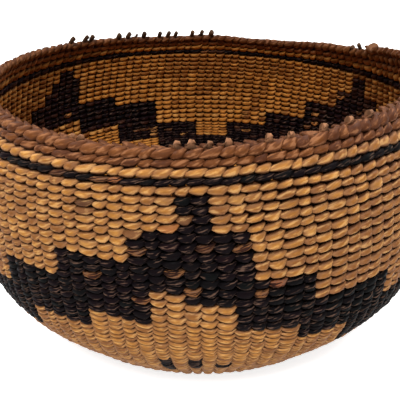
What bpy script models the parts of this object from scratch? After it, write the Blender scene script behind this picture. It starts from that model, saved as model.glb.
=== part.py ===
"""A twined bowl basket with a stepped dark band, in metres, +Z up, front towards -Y.

The wall is three layers: an outer strand of weft, the upright warps, and an inner strand of weft.
Every piece is a sheet on the same turned wall, cut out along courses (rows) and columns.
"""

import math

import bmesh
import bpy
import numpy as np
from mathutils import Vector

# Sizes of the bowl, to the outside of the outer strands
RIM_RADIUS = 0.063
BELLY_RADIUS = 0.0725
FOOT_RADIUS = 0.041
START_RADIUS = 0.010
HEIGHT = 0.078
BELLY_HEIGHT = 0.050

# Thickness of the layers, and the clearance between pieces that touch
STRAND = 0.0011
WARP = 0.0016
GAP = 0.0003
WELD = 0.000001

# The rim rides up at the sides, where the courses just under it are taller, and one side of the front is a little lower
RIM_DIP = 0.0013
RIM_SKEW = 0.00105
SADDLE_LENGTH = 0.069
RISE_LENGTH = 0.0095

# Beside the front the courses drift, down to the right and up to the left, by up to this many courses
DRIFT = 2.0
DRIFT_FROM = 4
DRIFT_MOST = 20
DRIFT_GROWTH = 1.2
DRIFT_WAVES = 3
DRIFT_TURN = math.radians(18)

# The warps lean to the right as they come down from the rim
LEAN_TURN = math.radians(3.4)
LEAN_LENGTH = 0.028

# The ends of the warps that stand above the rim, by their count to the right from the first bundle's edge
TALL_END = 0.0022
SHORT_END = 0.0008
END_ROOT = 0.0015
END_RADIUS = 0.0005
END_TIP_SHARE = 0.7
END_LEAN_SHARE = 0.35
END_SIDES = 6
TALL_END_WARPS = (37, 40, 60, 62, 63, 65, 66, 67, 69, 70, 71, 72, 76, 77, 79)
SHORT_END_WARPS = (0, 1, 2, 3, 6, 7, 10, 12, 14, 41, 112, 113)

# Wall outline as shares: how far it draws in from the belly, and how far towards the rim or the foot
RIM_SHARES = ((0.137, 0.464), (0.442, 0.761), (1.0, 1.0))
FOOT_SHARES = (
    (0.01, 0.256),
    (0.057, 0.426),
    (0.181, 0.582),
    (0.356, 0.716),
    (0.53, 0.848),
    (0.75, 0.955),
    (1.0, 1.0),
)
OUTLINE_STEPS = 24

# Counts of the weave
WARPS = 120
WALL_COURSES = 46
COLUMNS = 48
BUNDLES = 12
PEAKS = 3
FIRST_EDGE_TURN = math.radians(-6)
WARPS_IN_BUNDLE = round(WARPS / BUNDLES)

# The courses where one sheet ends and the next begins, from the rim down to the foot
RIM_COURSE, BROWN_COURSE, TAN_COURSE, STRIPE_COURSE, FIELD_COURSE = TOP_COURSES = (0, 1, 2, 3, 4)
STEP_COURSES = (5, 9, 13, 17, 21, 25, 29, 33)
HEEL_SHARES = (0.31, 0.54, 0.77, 1.0)
HEEL_COURSES = tuple(STEP_COURSES[-1] + (WALL_COURSES - STEP_COURSES[-1]) * share for share in HEEL_SHARES)
ROW_COURSES = TOP_COURSES + STEP_COURSES + HEEL_COURSES

# At each step, the columns beside a peak's middle column that are dark, and those that are tan again
DARK_COLUMNS = (0, 1, 3, 5, 7, 8, 8, 8)
TAN_COLUMNS = (-1, -1, -1, 1, 2, 4, 6, 8)
CHECK_COURSE = STEP_COURSES[-2]
CHECK_COLUMNS = 1

# Colours of the wefts and the warps
TAN = (0.56, 0.29, 0.08, 1.0)
BROWN = (0.29, 0.11, 0.04, 1.0)
DARK = (0.022, 0.016, 0.015, 1.0)
WARP_BROWN = (0.12, 0.055, 0.025, 1.0)
ROUGHNESS = 0.6

OUTER_DEPTH = STRAND / 2
WARP_DEPTH = STRAND + GAP + WARP / 2
INNER_DEPTH = STRAND + GAP + WARP + GAP + STRAND / 2


def clear_scene():
    """Removes every object, so that the scene holds only the basket."""
    for item in list(bpy.data.objects):
        bpy.data.objects.remove(item, do_unlink=True)


def make_collection(name):
    """A collection linked to the scene."""
    collection = bpy.data.collections.new(name)
    bpy.context.scene.collection.children.link(collection)
    return collection


def make_material(name, colour):
    """A matt plant-fibre material."""
    material = bpy.data.materials.new(name)
    material.use_nodes = True
    shader = material.node_tree.nodes["Principled BSDF"]
    shader.inputs["Base Color"].default_value = colour
    shader.inputs["Roughness"].default_value = ROUGHNESS
    shader.inputs["Metallic"].default_value = 0.0
    material.diffuse_color = colour
    return material


def outline_stations():
    """(radius, height) places of the outer wall, from the rim to the foot."""
    stations = []
    for inward, upward in reversed(RIM_SHARES):
        radius = BELLY_RADIUS + (RIM_RADIUS - BELLY_RADIUS) * inward
        height = BELLY_HEIGHT + (HEIGHT - BELLY_HEIGHT) * upward
        stations.append((radius, height))
    stations.append((BELLY_RADIUS, BELLY_HEIGHT))
    for inward, downward in FOOT_SHARES:
        radius = BELLY_RADIUS + (FOOT_RADIUS - BELLY_RADIUS) * inward
        height = BELLY_HEIGHT * (1 - downward)
        stations.append((radius, height))
    return np.array(stations)


def smooth_outline():
    """A smooth curve through the stations, level where it meets the flat foot."""
    stations = outline_stations()
    before = 2 * stations[0] - stations[1]
    after = np.array([2 * stations[-1][0] - stations[-2][0], stations[-2][1]])
    knots = np.vstack([before, stations, after])
    places = []
    for a, b, c, d in zip(knots, knots[1:], knots[2:], knots[3:]):
        for step in range(OUTLINE_STEPS):
            t = step / OUTLINE_STEPS
            slope_b = (c - a) / 2
            slope_c = (d - b) / 2
            bend = 3 * (c - b) - 2 * slope_b - slope_c
            twist = 2 * (b - c) + slope_b + slope_c
            places.append(b + slope_b * t + bend * t**2 + twist * t**3)
    places.append(stations[-1])
    return np.array(places)


OUTLINE = smooth_outline()
OUTLINE_SLOPES = np.gradient(OUTLINE, axis=0)
OUTLINE_SLOPES /= np.linalg.norm(OUTLINE_SLOPES, axis=1)[:, None]
OUTLINE_RUN = np.concatenate([[0], np.cumsum(np.linalg.norm(np.diff(OUTLINE, axis=0), axis=1))])
WALL_RUN = float(OUTLINE_RUN[-1])
BASE_RUN = WALL_RUN + FOOT_RADIUS - START_RADIUS


def wall_place(run, depth):
    """(radius, height) at a run down the outline from the rim, and a depth in from the outside."""
    if run > WALL_RUN:
        return FOOT_RADIUS - (run - WALL_RUN), depth
    above = min(run, 0.0)
    radius, height = (np.interp(run, OUTLINE_RUN, OUTLINE[:, k]) for k in (0, 1))
    outward, down = (np.interp(run, OUTLINE_RUN, OUTLINE_SLOPES[:, k]) for k in (0, 1))
    radius += above * outward + depth * down
    height += above * down - depth * outward
    return radius, height


def wall_point(turn, run, depth):
    """The place on the wall at a turn from the front, in radians to the right."""
    radius, height = wall_place(run, depth)
    fade = min(max(1 - run / SADDLE_LENGTH, 0), 1)
    height -= fade * (RIM_DIP - RIM_SKEW * math.sin(2 * turn))
    height += min(max(1 - run / RISE_LENGTH, 0), 1) * RIM_DIP * (1 - math.cos(2 * turn))
    leaned = turn + LEAN_TURN * min(max(run / LEAN_LENGTH, 0), 1)
    return Vector((radius * math.sin(leaned), -radius * math.cos(leaned), height))


def warp_turn(warp):
    """The turn of a place among the warps, counted to the right from the first bundle's edge."""
    return FIRST_EDGE_TURN + 2 * math.pi * warp / (BUNDLES * WARPS_IN_BUNDLE)


def row_run(row):
    """The run from the rim to the upper edge of a row, which may be the end of the base."""
    if row == len(ROW_COURSES):
        return BASE_RUN
    return WALL_RUN * ROW_COURSES[row] / WALL_COURSES


def drift_run(turn, row):
    """How much further down the wall the upper edge of a row lies at a turn than it does on average."""
    if row == len(ROW_COURSES) or not DRIFT_FROM < ROW_COURSES[row] < WALL_COURSES:
        return 0
    course = ROW_COURSES[row]
    if course < DRIFT_MOST:
        share = ((course - DRIFT_FROM) / (DRIFT_MOST - DRIFT_FROM)) ** DRIFT_GROWTH
    else:
        share = (1 + math.cos(math.pi * (course - DRIFT_MOST) / (WALL_COURSES - DRIFT_MOST))) / 2
    front = ((1 + math.cos(turn)) / 2) ** 2
    return DRIFT * WALL_RUN / WALL_COURSES * share * front * math.sin(DRIFT_WAVES * turn + DRIFT_TURN)


def off_peak(column):
    """How many columns a column lies from the nearest peak's middle column."""
    repeat = COLUMNS // PEAKS
    beside = column % repeat
    return min(beside, repeat - beside)


def field_of(column, row):
    """The name of the field of weft that a cell of the wall belongs to."""
    if row == len(ROW_COURSES) - 1:
        return "base_wefts"
    course = ROW_COURSES[row]
    bands = {
        RIM_COURSE: "rim_course",
        BROWN_COURSE: "brown_course",
        TAN_COURSE: "tan_course",
        STRIPE_COURSE: "dark_stripe",
        FIELD_COURSE: "upper_field",
    }
    if course in bands:
        return bands[course]
    beside = off_peak(column)
    if course == CHECK_COURSE and beside <= CHECK_COLUMNS:
        return "check_patch"
    if course not in STEP_COURSES:
        return "lower_field"
    step = STEP_COURSES.index(course)
    if beside <= TAN_COLUMNS[step]:
        return "lower_field"
    return "dark_band" if beside <= DARK_COLUMNS[step] else "upper_field"


def cells_of(field):
    """The cells of a field, as (column, row)."""
    rows = range(len(ROW_COURSES))
    return {(c, r) for c in range(COLUMNS) for r in rows if field_of(c, r) == field}


def edge_shift(cells, column, row):
    """Which way a corner of the sheet steps back from its neighbours: -1, 0 or 1 on each axis."""
    right = 0
    down = 0
    for side in (-1, 0):
        for level in (-1, 0):
            if ((column + side) % COLUMNS, row + level) in cells:
                right += 2 * side + 1
                down += 2 * level + 1
    return min(max(right, -1), 1), min(max(down, -1), 1)


def sheet_point(cells, column, row, depth):
    """A corner of a sheet, drawn in by half a clearance where the sheet ends."""
    right, down = edge_shift(cells, column, row)
    run = row_run(row) + down * GAP / 2
    radius, _ = wall_place(run, depth)
    turn = FIRST_EDGE_TURN + 2 * math.pi * column / COLUMNS + right * GAP / 2 / radius
    return wall_point(turn, run + drift_run(turn, row), depth)


def make_object(name, mesh, material, collection, root):
    """A named object with one material, parented to the root."""
    mesh.materials.append(material)
    mesh.shade_smooth()
    item = bpy.data.objects.new(name, mesh)
    item.parent = root
    collection.objects.link(item)
    return item


def make_sheet(name, cells, depth, thickness, material, collection, root):
    """A sheet that covers the cells: a grid bent onto the wall, then given its thickness."""
    sheet = bmesh.new()
    rows = len(ROW_COURSES)
    bmesh.ops.create_grid(sheet, x_segments=COLUMNS, y_segments=rows, size=1)
    places = {}
    for vertex in sheet.verts:
        column = round((vertex.co.x + 1) / 2 * COLUMNS)
        row = round((1 - vertex.co.y) / 2 * rows)
        places[vertex] = (column, row)
    outside = []
    for face in sheet.faces:
        corners = [places[vertex] for vertex in face.verts]
        cell = (min(c for c, _ in corners), min(r for _, r in corners))
        if cell not in cells:
            outside.append(face)
    bmesh.ops.delete(sheet, geom=outside, context="FACES")
    for vertex in sheet.verts:
        vertex.co = sheet_point(cells, *places[vertex], depth)
    bmesh.ops.remove_doubles(sheet, verts=sheet.verts, dist=WELD)
    mesh = bpy.data.meshes.new(name)
    sheet.to_mesh(mesh)
    sheet.free()
    item = make_object(name, mesh, material, collection, root)
    shell = item.modifiers.new("thickness", "SOLIDIFY")
    shell.thickness = thickness
    shell.offset = 0
    shell.use_even_offset = True
    return item


def make_disc(name, depth, thickness, material, collection, root):
    """A flat round piece at the middle of the base."""
    disc = bmesh.new()
    radius = START_RADIUS - GAP / 2
    bmesh.ops.create_cone(
        disc, cap_ends=True, segments=COLUMNS // 2, radius1=radius, radius2=radius, depth=thickness
    )
    mesh = bpy.data.meshes.new(name)
    disc.to_mesh(mesh)
    disc.free()
    item = make_object(name, mesh, material, collection, root)
    item.location.z = depth
    return item


def standing_ends(bundle):
    """The warps of a bundle that stand above the rim, with their heights."""
    heights = dict.fromkeys(TALL_END_WARPS, TALL_END) | dict.fromkeys(SHORT_END_WARPS, SHORT_END)
    own = {warp for warp in heights if warp // WARPS_IN_BUNDLE % BUNDLES == bundle}
    return [(warp, heights[warp]) for warp in sorted(own)]


def make_ends(name, ends, collection):
    """Tapered rods rooted in the wall, to be joined to the warps below them."""
    rods = bmesh.new()
    for warp, height in ends:
        turn = warp_turn(warp + 1 / 2)
        root = wall_point(turn, END_ROOT, WARP_DEPTH)
        tip = wall_point(turn + END_LEAN_SHARE * height / RIM_RADIUS, -height, WARP_DEPTH)
        axis = tip - root
        place = axis.to_track_quat("Z", "Y").to_matrix().to_4x4()
        place.translation = (root + tip) / 2
        bmesh.ops.create_cone(
            rods,
            cap_ends=True,
            segments=END_SIDES,
            radius1=END_RADIUS,
            radius2=END_RADIUS * END_TIP_SHARE,
            depth=axis.length,
            matrix=place,
        )
    mesh = bpy.data.meshes.new(name)
    rods.to_mesh(mesh)
    rods.free()
    item = bpy.data.objects.new(name, mesh)
    item.hide_render = True
    item.display_type = "WIRE"
    collection.objects.link(item)
    return item


def make_bundle(number, material, parts, cutters, root):
    """One of the bundles of neighbouring warps, from the base to above the rim."""
    name = f"warp_bundle_{number + 1:02d}"
    width = COLUMNS // BUNDLES
    columns = range(number * width, (number + 1) * width)
    cells = {(column, row) for column in columns for row in range(len(ROW_COURSES))}
    item = make_sheet(name, cells, WARP_DEPTH, WARP, material, parts, root)
    ends = standing_ends(number)
    if ends:
        union = item.modifiers.new("ends", "BOOLEAN")
        union.operation = "UNION"
        union.object = make_ends(f"{name}_ends", ends, cutters)
    return item


def make_fields(side, depth, materials, collection, root):
    """The fields of weft on one side of the wall."""
    colours = {
        "rim_course": "brown_weft",
        "brown_course": "brown_weft",
        "tan_course": "tan_weft",
        "dark_stripe": "dark_weft",
        "upper_field": "tan_weft",
        "dark_band": "dark_weft",
        "lower_field": "tan_weft",
        "base_wefts": "tan_weft",
    }
    patches = cells_of("check_patch")
    for field, colour in colours.items():
        cells = cells_of(field)
        if field == "lower_field" and side == "inner":
            cells |= patches
        make_sheet(f"{field}_{side}", cells, depth, STRAND, materials[colour], collection, root)
    make_disc(f"start_wefts_{side}", depth, STRAND, materials["tan_weft"], collection, root)


def make_check_patches(materials, collection, root):
    """The small patches of dark checks that show on the outside, one below each peak."""
    repeat = COLUMNS // PEAKS
    cells = cells_of("check_patch")
    for peak in range(PEAKS):
        near = range(peak * repeat - repeat // 2, peak * repeat + repeat // 2)
        own = {cell for cell in cells if cell[0] in near or cell[0] - COLUMNS in near}
        name = f"check_patch_{peak + 1}"
        make_sheet(name, own, OUTER_DEPTH, STRAND, materials["dark_weft"], collection, root)


def main():
    clear_scene()
    parts = make_collection("twined_basket")
    cutters = make_collection("cutters")
    root = bpy.data.objects.new("basket_origin", None)
    parts.objects.link(root)
    materials = {
        "tan_weft": make_material("tan_weft", TAN),
        "brown_weft": make_material("brown_weft", BROWN),
        "dark_weft": make_material("dark_weft", DARK),
        "warp": make_material("warp", WARP_BROWN),
    }
    for number in range(BUNDLES):
        make_bundle(number, materials["warp"], parts, cutters, root)
    make_disc("warp_cross", WARP_DEPTH, WARP, materials["warp"], parts, root)
    make_fields("outer", OUTER_DEPTH, materials, parts, root)
    make_fields("inner", INNER_DEPTH, materials, parts, root)
    make_check_patches(materials, parts, root)


main()
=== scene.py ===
"""A small twined bowl basket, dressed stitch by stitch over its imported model."""

import logging
import math
from dataclasses import dataclass, field, replace
from enum import Enum
from typing import NamedTuple

import bpy
import numpy as np
from mathutils import Matrix, Vector


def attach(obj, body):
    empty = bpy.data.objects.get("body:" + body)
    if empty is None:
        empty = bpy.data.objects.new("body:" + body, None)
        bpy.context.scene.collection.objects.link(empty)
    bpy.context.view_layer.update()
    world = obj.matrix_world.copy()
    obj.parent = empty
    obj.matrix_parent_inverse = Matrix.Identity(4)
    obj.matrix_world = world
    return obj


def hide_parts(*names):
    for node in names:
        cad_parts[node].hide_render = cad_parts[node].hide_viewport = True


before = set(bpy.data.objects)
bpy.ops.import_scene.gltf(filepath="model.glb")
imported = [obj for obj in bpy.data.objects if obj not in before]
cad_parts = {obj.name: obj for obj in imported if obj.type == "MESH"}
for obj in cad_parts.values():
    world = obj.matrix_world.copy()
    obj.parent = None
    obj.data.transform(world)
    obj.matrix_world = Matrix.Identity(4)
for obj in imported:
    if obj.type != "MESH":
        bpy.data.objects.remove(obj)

LOG = logging.getLogger("twined_bowl")
BODY = "root"
FULL_TURN = 2 * math.pi
Array = np.ndarray
Chance = np.random.Generator
Colour = tuple[float, float, float, float]
Socket = bpy.types.NodeSocket
Piece = bpy.types.Object


class Side(Enum):
    """The two faces of the wall."""

    OUTER = "outer"
    INNER = "inner"


class Kind(Enum):
    """The shapes that a stitch can have, in the order in which a collection lists them."""

    OVAL = 0
    TOP = 1
    WALL = 2


class Weft(Enum):
    """The fields of weft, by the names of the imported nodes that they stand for."""

    RIM = "rim_course"
    BROWN = "brown_course"
    TAN = "tan_course"
    STRIPE = "dark_stripe"
    UPPER = "upper_field"
    BAND = "dark_band"
    LOWER = "lower_field"
    BASE = "base_wefts"
    START = "start_wefts"
    CHECK = "check_patch"


# Form


@dataclass
class BowlForm:
    """The bowl's surface: its outline, the dips of its rim and the lean of its columns.

    A place on it is a turn round the bowl from the front, a run down the outline from the rim, and a
    depth in from the outer face. Lengths are in metres and turns in radians to the right. Each bump of
    the rim has its turn and its half width in degrees, and its rise.
    """

    rim_radius: float = 0.063
    belly_radius: float = 0.0725
    foot_radius: float = 0.041
    start_radius: float = 0.010
    height: float = 0.078
    belly_height: float = 0.050
    strand: float = 0.0011
    warp: float = 0.0016
    gap: float = 0.0003
    rim_dip: float = 0.0013
    rim_skew: float = 0.00105
    saddle_length: float = 0.069
    rise_length: float = 0.0095
    rim_bumps: tuple = ((175.5, 10.0, 0.0010), (131.0, 9.0, 0.0005), (80.0, 20.0, 0.0020))
    thin_share: float = 0.42
    thin_length: float = 0.016
    lean_turn: float = math.radians(2.65)
    lean_length: float = 0.028
    rim_shares: tuple = ((0.137, 0.464), (0.442, 0.761), (1.0, 1.0))
    foot_shares: tuple = (
        (0.01, 0.256), (0.057, 0.426), (0.181, 0.582), (0.356, 0.716), (0.53, 0.848), (0.75, 0.955),
        (1.0, 1.0),
    )
    steps: int = 24
    probe: float = 1e-4
    outline: Array = field(init=False)
    slopes: Array = field(init=False)
    runs: Array = field(init=False)
    wall_run: float = field(init=False)

    def __post_init__(self) -> None:
        """Works out the outline, its slopes and its length."""
        self.outline = self.smooth(self.stations())
        slopes = np.gradient(self.outline, axis=0)
        self.slopes = slopes / np.linalg.norm(slopes, axis=1)[:, None]
        lengths = np.linalg.norm(np.diff(self.outline, axis=0), axis=1)
        self.runs = np.concatenate([[0.0], np.cumsum(lengths)])
        self.wall_run = float(self.runs[-1])

    @property
    def outer_depth(self) -> float:
        """The depth of the middle of the outer strands."""
        return self.strand / 2

    @property
    def full_warp_depth(self) -> float:
        """The depth of the middle of the warps where the wall is at its thickest."""
        return self.strand + self.gap + self.warp / 2

    def thickness_share(self, run: Array) -> Array:
        """How much of its full thickness the wall has at a run. It draws thin towards the rim."""
        risen = np.clip(np.asarray(run, float) / self.thin_length, 0, 1)
        return self.thin_share + (1 - self.thin_share) * risen * risen * (3 - 2 * risen)

    def warp_depth(self, run: Array) -> Array:
        """The depth of the middle of the warps at a run."""
        return self.outer_depth + (self.full_warp_depth - self.outer_depth) * self.thickness_share(run)

    def inner_depth(self, run: Array) -> Array:
        """The depth of the middle of the inner strands at a run."""
        return 2 * self.warp_depth(run) - self.outer_depth

    def stations(self) -> Array:
        """The radius and height of each station of the outer wall, from the rim to the foot.

        Returns:
            One row for each.
        """
        belly = np.array([self.belly_radius, self.belly_height])
        rim = np.array([self.rim_radius, self.height]) - belly
        foot = np.array([self.foot_radius, 0.0]) - belly
        return np.vstack([belly + rim * self.rim_shares[::-1], belly, belly + foot * self.foot_shares])

    def smooth(self, stations: Array) -> Array:
        """A smooth curve through the stations, level where it meets the flat foot.

        Args:
            stations: one row of radius and height for each station.

        Returns:
            The curve's places, in the same form.
        """
        before = 2 * stations[0] - stations[1]
        after = np.array([2 * stations[-1][0] - stations[-2][0], stations[-2][1]])
        knots = np.vstack([before, stations, after])
        share = np.arange(self.steps)[:, None] / self.steps
        places = []
        for a, b, c, d in zip(knots, knots[1:], knots[2:], knots[3:]):
            slope_b, slope_c = (c - a) / 2, (d - b) / 2
            bend = 3 * (c - b) - 2 * slope_b - slope_c
            twist = 2 * (b - c) + slope_b + slope_c
            places.append(b + slope_b * share + bend * share**2 + twist * share**3)
        return np.vstack([*places, stations[-1]])

    def radius_at(self, run: Array) -> Array:
        """The radius of the outer face at a run, on the wall or on the base."""
        on_wall = np.interp(run, self.runs, self.outline[:, 0])
        return np.where(run > self.wall_run, self.foot_radius - (run - self.wall_run), on_wall)

    def surface(self, turn: Array, run: Array, depth: Array) -> Array:
        """Places on the bowl.

        Args:
            turn: turns round the bowl.
            run: runs down from the rim. A run past the foot lies on the base.
            depth: depths in from the outer face.

        Returns:
            One row of x, y and z for each place.
        """
        turn, run, depth = np.broadcast_arrays(*(np.asarray(v, float) for v in (turn, run, depth)))
        above = np.minimum(run, 0.0)
        radius, height = (np.interp(run, self.runs, self.outline[:, k]) for k in (0, 1))
        outward, down = (np.interp(run, self.runs, self.slopes[:, k]) for k in (0, 1))
        on_base = run > self.wall_run
        radius = np.where(on_base, self.radius_at(run), radius + above * outward + depth * down)
        sloped = np.clip(run / self.thin_length, 0, 1)
        height = np.where(on_base, depth, height + above * down - depth * outward * sloped)
        fade = np.clip(1 - run / self.saddle_length, 0, 1)
        height = height - fade * (self.rim_dip - self.rim_skew * np.sin(2 * turn))
        risen = np.clip(1 - run / self.rise_length, 0, 1)
        height = height + risen * (self.rim_dip * (1 - np.cos(2 * turn)) + self.bumps(turn))
        leaned = turn + self.lean_turn * np.clip(run / self.lean_length, 0, 1)
        return np.stack([radius * np.sin(leaned), -radius * np.cos(leaned), height], axis=-1)

    def bumps(self, turn: Array) -> Array:
        """How far the rim stands above its even height, for each turn.

        Args:
            turn: turns round the bowl.

        Returns:
            The heights.
        """
        raised = np.zeros_like(turn)
        for middle, width, rise in self.rim_bumps:
            beside = (np.degrees(turn) - middle + 180) % 360 - 180
            raised = raised + rise * np.exp(-((beside / width) ** 2))
        return raised

    def axes(self, turn: Array, run: Array, depth: Array, side: Side, tilt: Array | float = 0.0) -> Array:
        """The way that stitches face, as seen by someone who looks at their side of the wall.

        Args:
            turn: turns round the bowl.
            run: runs down from the rim.
            depth: depths in from the outer face.
            side: the face of the wall.
            tilt: how fast their course runs down the wall, for each radian of turn.

        Returns:
            For each place, the axes to the right, up the wall and out of it, as rows.
        """
        step = self.probe
        right = self.surface(turn + step, run + tilt * step, depth)
        right = right - self.surface(turn - step, run - tilt * step, depth)
        up = self.surface(turn, run - step, depth) - self.surface(turn, run + step, depth)
        right = right / np.linalg.norm(right, axis=-1, keepdims=True)
        out = np.cross(right, up)
        out = out / np.linalg.norm(out, axis=-1, keepdims=True)
        up = np.cross(out, right)
        if side is Side.INNER:
            right, out = -right, -out
        return np.stack([right, up, out], axis=-2)


# Pattern


class Spot(NamedTuple):
    """The place of a stitch: its face, its course from the rim, and its turn and warp from the front."""

    side: Side
    course: int
    turn: float
    warp: float


@dataclass(frozen=True)
class Peak:
    """One peak of the stepped band.

    Each row of its tables gives a course, and the two edges, in warps from the peak's middle, that
    hold from that course down: first of the dark steps, then of the tan field that rises inside.
    """

    middle: float
    dark: tuple
    tan: tuple

    @staticmethod
    def holds(rows: tuple, course: int, beside: float) -> bool:
        """Whether a place beside the middle lies between a table's edges at a course."""
        edges = [row[1:] for row in rows if row[0] <= course]
        return bool(edges) and edges[-1][0] < beside < edges[-1][1]


@dataclass
class Pattern:
    """Where each field of weft lies, by its courses from the rim and its warps right of the front.

    A check has its left edge, its first course and the one it ends before. Among the strays, a stitch
    has its course, its warp and its tone. Among the stains, a place has its course, its warp, how far
    it reaches down and across, and how it moves the tone. Besides soft stains, that table paints shade
    on the sides of the outer wall and light on the side walls inside.
    """

    warps: int = 120
    courses: int = 58
    top: tuple = (Weft.RIM, Weft.BROWN, Weft.TAN, Weft.STRIPE, Weft.UPPER)
    joined_course: int = 25
    last_course: int = 38
    peaks: tuple = (
        Peak(
            -1.0,
            (
                (5, -1.2, 1.0), (7, -0.2, 1.0), (8, -1.2, 1.0), (9, -2.9, 2.9), (10, -4.0, 2.9),
                (13, -8.6, 2.9), (14, -8.6, 7.05), (17, -14.3, 12.7), (21, -14.3, 17.5),
                (22, -17.6, 17.8),
            ),
            (
                (16, -3.0, -1.1), (17, -3.0, 2.05), (20, -3.0, 5.95), (21, -7.35, 5.95),
                (23, -7.35, 10.2), (25, -12.1, 10.2), (31, -15.6, 14.5),
            ),
        ),
        Peak(
            39.2,
            ((5, -1.1, 0.9), (9, -3.3, 2.7), (13, -7.7, 6.6), (17, -12.2, 11.7), (20, -17.2, 17.0)),
            ((17, -2.5, 2.9), (20, -6.5, 6.8), (25, -11.0, 11.5), (31, -16.0, 16.0)),
        ),
        Peak(
            76.9,
            (
                (5, -0.9, 1.1), (7, -2.0, 2.1), (9, -2.0, 3.5), (11, -2.0, 5.3), (13, -7.0, 6.2),
                (15, -12.0, 10.8), (20, -17.0, 16.0),
            ),
            ((16, -1.5, 2.4), (19, -7.0, 6.8), (25, -12.3, 11.2), (31, -16.0, 15.0)),
        ),
    )
    patch_courses: tuple = (28, 41)
    patch_edges: tuple = (-3.0, 2.0)
    checks: tuple = ((-3.0, 30, 40), (-1.0, 29, 34), (1.0, 31, 34))
    thick_stitches: tuple = ((6, 10.5), (9, 5.5))

    STRAYS = {
        Side.OUTER: (
            (3, -9.5, 1.5), (3, -6.5, 1.4), (3, -5.5, 1.7), (6, -7.5, 1.5), (7, -7.5, 1.5),
            (7, -1.5, 1.5), (8, -2.5, 1.7), (9, -4.5, 1.5), (10, -0.5, 1.5), (10, 1.5, 1.5),
            (11, -4.5, 1.5), (13, -2.5, 1.6), (15, -7.5, 1.7), (15, -1.5, 1.6), (17, -4.5, 1.6),
            (15, 2.5, 1.6), (14, 3.5, 1.6),
        ),
        Side.INNER: (
            (3, 59.5, 1.8), (3, 58.5, 1.5), (3, 57.5, 1.4), (10, 41.5, 1.9), (11, 37.5, 1.5),
            (12, 38.5, 1.4), (15, 44.5, 1.9), (17, 44.5, 1.7), (18, 45.5, 1.5), (14, 76.5, 1.8),
            (21, 66.5, 1.6), (21, 67.5, 1.6), (21, 65.5, 2.0), (22, 65.5, 2.0), (23, 65.5, 2.0),
            (22, 53.5, 1.8), (21, 54.5, 1.5), (22, 63.5, 1.5), (24, 61.5, 2.0),
        ),
    }
    # Soft stains; some places also paint shade on the outer sides and light on the inner side walls.
    STAINS_AND_PAINTED_LIGHT = {
        Side.OUTER: ((40, 0, 14, 30, -0.4), (17, 13, 30, 8, -0.8), (18, -16, 30, 7, -0.45)),
        Side.INNER: (
            (6, 56, 5, 14, -0.7), (10, 84, 14, 10, 0.8), (8, 36, 14, 8, 0.8), (2, 60, 1.5, 60, 0.5),
            (22, 47, 7, 9, 0.25), (11, 58, 3, 2, -0.4), (22, 64, 8, 9, 0.2),
        ),
    }

    def off(self, warp: float, middle: float) -> float:
        """How many warps a warp lies to the right of a middle, the short way round."""
        return (warp - middle + self.warps / 2) % self.warps - self.warps / 2

    def named_in(self, rows: tuple, spot: Spot) -> tuple | None:
        """The row of a table that starts with a stitch's own course and warp, or None."""
        near = (row for row in rows if abs(self.off(spot.warp, row[1])) < 0.5)
        return next((row for row in near if row[0] == spot.course), None)

    def stained_and_painted_light(self, spot: Spot) -> float:
        """How far a stitch's tone is moved by the soft stains, painted shade and painted light near it.

        Args:
            spot: the stitch's place.

        Returns:
            The change of the tone.
        """
        moved = 0.0
        for at_course, at_warp, high, wide, change in self.STAINS_AND_PAINTED_LIGHT[spot.side]:
            far = ((spot.course - at_course) / high) ** 2 + (self.off(spot.warp, at_warp) / wide) ** 2
            moved += change * math.exp(-far)
        return moved

    def nearest(self, warp: float) -> tuple[int, Peak, float]:
        """The number of the nearest peak, that peak, and how far to its right a warp lies."""
        number, peak = min(enumerate(self.peaks), key=lambda found: abs(self.off(warp, found[1].middle)))
        return number, peak, self.off(warp, peak.middle)

    def weft_at(self, spot: Spot) -> Weft:
        """The field that a stitch belongs to.

        Args:
            spot: the stitch's place.

        Returns:
            The field.
        """
        course = spot.course
        if course < len(self.top):
            return self.top[course]
        _, peak, beside = self.nearest(spot.warp)
        if course >= self.last_course or peak.holds(peak.tan, course, beside):
            return Weft.LOWER
        dark = course >= self.joined_course or peak.holds(peak.dark, course, beside)
        return Weft.BAND if dark else Weft.UPPER

    def check_at(self, spot: Spot) -> int:
        """The number of the patch in which a stitch on the outside is a dark check, or 0.

        Args:
            spot: the stitch's place.

        Returns:
            The number, from 1.
        """
        course = spot.course
        number, _, beside = self.nearest(spot.warp)
        first, end = self.patch_courses
        left, right = self.patch_edges
        in_patch = first <= course < end and left < beside < right
        dark = any(at < beside < at + 1 and upper <= course < lower for at, upper, lower in self.checks)
        return number + 1 if in_patch and dark else 0


# Weave


class Stitch(NamedTuple):
    """One stitch: its place, its length, how many courses high and strands thick it is, and its looks."""

    turn: float
    run: float
    length: float
    rise: float
    bulk: float
    lift: float
    tilt: float
    tone: float
    kind: int


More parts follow.
